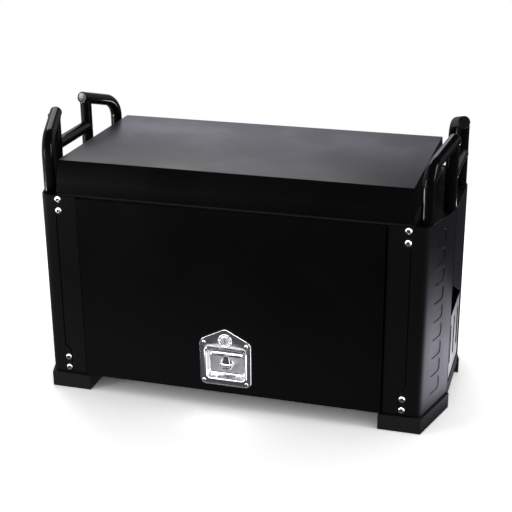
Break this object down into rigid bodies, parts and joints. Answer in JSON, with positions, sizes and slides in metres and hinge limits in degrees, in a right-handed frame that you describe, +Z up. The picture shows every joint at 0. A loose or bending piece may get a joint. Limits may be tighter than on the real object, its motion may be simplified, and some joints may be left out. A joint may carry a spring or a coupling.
{
  "type": "drawer tool box",
  "caption": "Black steel tool box with hinged lid, lift-off latched front cover over a stack of drawers, armoured corners, rubber feet and tube side handles.",
  "frame": {"origin": "on the floor under the middle of the box: middle of its width and of its depth", "axes": "+X to the box's right as seen from the front, +Y from the front cover to the rear wall, +Z up"},
  "size_m": [0.882, 0.4335, 0.5878],
  "materials": {
    "cabinet_paint": "fine satin black powder coat",
    "tube_paint": "semi-gloss black powder coat",
    "rubber": "matte black",
    "cap_plastic": "moulded matte black",
    "latch_stainless": "polished stainless steel",
    "zinc_steel": "zinc coated",
    "pull_aluminium": "satin anodised extrusion"
  },
  "bodies": {
    "cabinet": {"base_pan": "cabinet_paint", "foot_front_left": "rubber", "foot_front_right": "rubber", "foot_rear_left": "rubber", "foot_rear_right": "rubber", "post_front_left": "cabinet_paint", "post_front_right": "cabinet_paint", "post_rear_left": "cabinet_paint", "post_rear_right": "cabinet_paint", "horn_front_left": "tube_paint", "horn_front_right": "tube_paint", "horn_rear_left": "tube_paint", "horn_rear_right": "tube_paint", "stanchion_front_left": "tube_paint", "stanchion_front_right": "tube_paint", "stanchion_rear_left": "tube_paint", "stanchion_rear_right": "tube_paint", "end_cap_front_left": "cap_plastic", "end_cap_front_right": "cap_plastic", "end_cap_rear_left": "cap_plastic", "end_cap_rear_right": "cap_plastic", "side_skin_left": "cabinet_paint", "side_skin_right": "cabinet_paint", "vent_panel_left": "zinc_steel", "vent_panel_right": "zinc_steel", "handle_plate_left": "cabinet_paint", "handle_plate_right": "cabinet_paint", "grip_left": "tube_paint", "grip_right": "tube_paint", "slide_rack_left": "zinc_steel", "slide_rack_right": "zinc_steel", "cabinet_shell": "cabinet_paint", "top_tray": "cabinet_paint", "lid_seal": "rubber", "hinge_leaf_body": "cabinet_paint", "hinge_pin": "zinc_steel", "latch_strike": "zinc_steel"},
    "lid": {"lid_shell": "cabinet_paint", "lid_brace": "cabinet_paint", "hinge_leaf_lid": "cabinet_paint"},
    "left_strut_cylinder": {"strut_cylinder_left": "tube_paint"},
    "left_strut_rod": {"strut_rod_left": "zinc_steel"},
    "right_strut_cylinder": {"strut_cylinder_right": "tube_paint"},
    "right_strut_rod": {"strut_rod_right": "zinc_steel"},
    "cover": {"cover_panel": "cabinet_paint", "latch_dish": "latch_stainless", "latch_spindle": "latch_stainless", "latch_cam": "zinc_steel"},
    "t_handle": {"t_handle": "latch_stainless"},
    "lock_plug": {"lock_plug": "latch_stainless"},
    "drawer_1": {"drawer_tray_1": "cabinet_paint", "drawer_pull_1": "pull_aluminium"},
    "drawer_2": {"drawer_tray_2": "cabinet_paint", "drawer_pull_2": "pull_aluminium"},
    "drawer_3": {"drawer_tray_3": "cabinet_paint", "drawer_pull_3": "pull_aluminium"},
    "drawer_4": {"drawer_tray_4": "cabinet_paint", "drawer_pull_4": "pull_aluminium"},
    "drawer_5": {"drawer_tray_5": "cabinet_paint", "drawer_pull_5": "pull_aluminium"}
  },
  "joints": [
    {"name": "lid_hinge", "type": "hinge", "parent": "cabinet", "child": "lid", "pos_m": [0, 0.2095, 0.4405], "axis": [-1, 0, 0], "range_deg": [0, 85]},
    {"name": "left_strut_pivot", "type": "hinge", "parent": "cabinet", "child": "left_strut_cylinder", "pos_m": [-0.334, 0.03, 0.392], "axis": [-1, 0, 0], "range_deg": [0, 6]},
    {"name": "left_strut_slide", "type": "slide", "parent": "left_strut_cylinder", "child": "left_strut_rod", "axis": [0, 0.8575, 0.5145], "range_m": [0, 0.078]},
    {"name": "right_strut_pivot", "type": "hinge", "parent": "cabinet", "child": "right_strut_cylinder", "pos_m": [0.334, 0.03, 0.392], "axis": [-1, 0, 0], "range_deg": [0, 6]},
    {"name": "right_strut_slide", "type": "slide", "parent": "right_strut_cylinder", "child": "right_strut_rod", "axis": [0, 0.8575, 0.5145], "range_m": [0, 0.078]},
    {"name": "cover_slide", "type": "slide", "parent": "cabinet", "child": "cover", "axis": [0, -1, 0], "range_m": [0, 0.4]},
    {"name": "handle_fold", "type": "hinge", "parent": "cover", "child": "t_handle", "pos_m": [-0.005, -0.2105, 0.0987], "axis": [1, 0, 0], "range_deg": [0, 90]},
    {"name": "key_turn", "type": "hinge", "parent": "cover", "child": "lock_plug", "pos_m": [-0.005, -0.21, 0.1574], "axis": [0, 1, 0], "range_deg": [0, 90]},
    {"name": "drawer_1_slide", "type": "slide", "parent": "cabinet", "child": "drawer_1", "axis": [0, -1, 0], "range_m": [0, 0.28]},
    {"name": "drawer_2_slide", "type": "slide", "parent": "cabinet", "child": "drawer_2", "axis": [0, -1, 0], "range_m": [0, 0.28]},
    {"name": "drawer_3_slide", "type": "slide", "parent": "cabinet", "child": "drawer_3", "axis": [0, -1, 0], "range_m": [0, 0.28]},
    {"name": "drawer_4_slide", "type": "slide", "parent": "cabinet", "child": "drawer_4", "axis": [0, -1, 0], "range_m": [0, 0.28]},
    {"name": "drawer_5_slide", "type": "slide", "parent": "cabinet", "child": "drawer_5", "axis": [0, -1, 0], "range_m": [0, 0.28]}
  ],
  "couplings": [
    {"joint": "left_strut_pivot", "follows": "lid_hinge", "ratio": 0.056787},
    {"joint": "left_strut_slide", "follows": "lid_hinge", "m_per_rad": 0.051411},
    {"joint": "right_strut_pivot", "follows": "lid_hinge", "ratio": 0.056787},
    {"joint": "right_strut_slide", "follows": "lid_hinge", "m_per_rad": 0.051411},
    {"joint": "drawer_1_slide", "follows": "cover_slide", "ratio": 0.7},
    {"joint": "drawer_2_slide", "follows": "cover_slide", "ratio": 0.7},
    {"joint": "drawer_3_slide", "follows": "cover_slide", "ratio": 0.7},
    {"joint": "drawer_4_slide", "follows": "cover_slide", "ratio": 0.7},
    {"joint": "drawer_5_slide", "follows": "cover_slide", "ratio": 0.7}
  ]
}
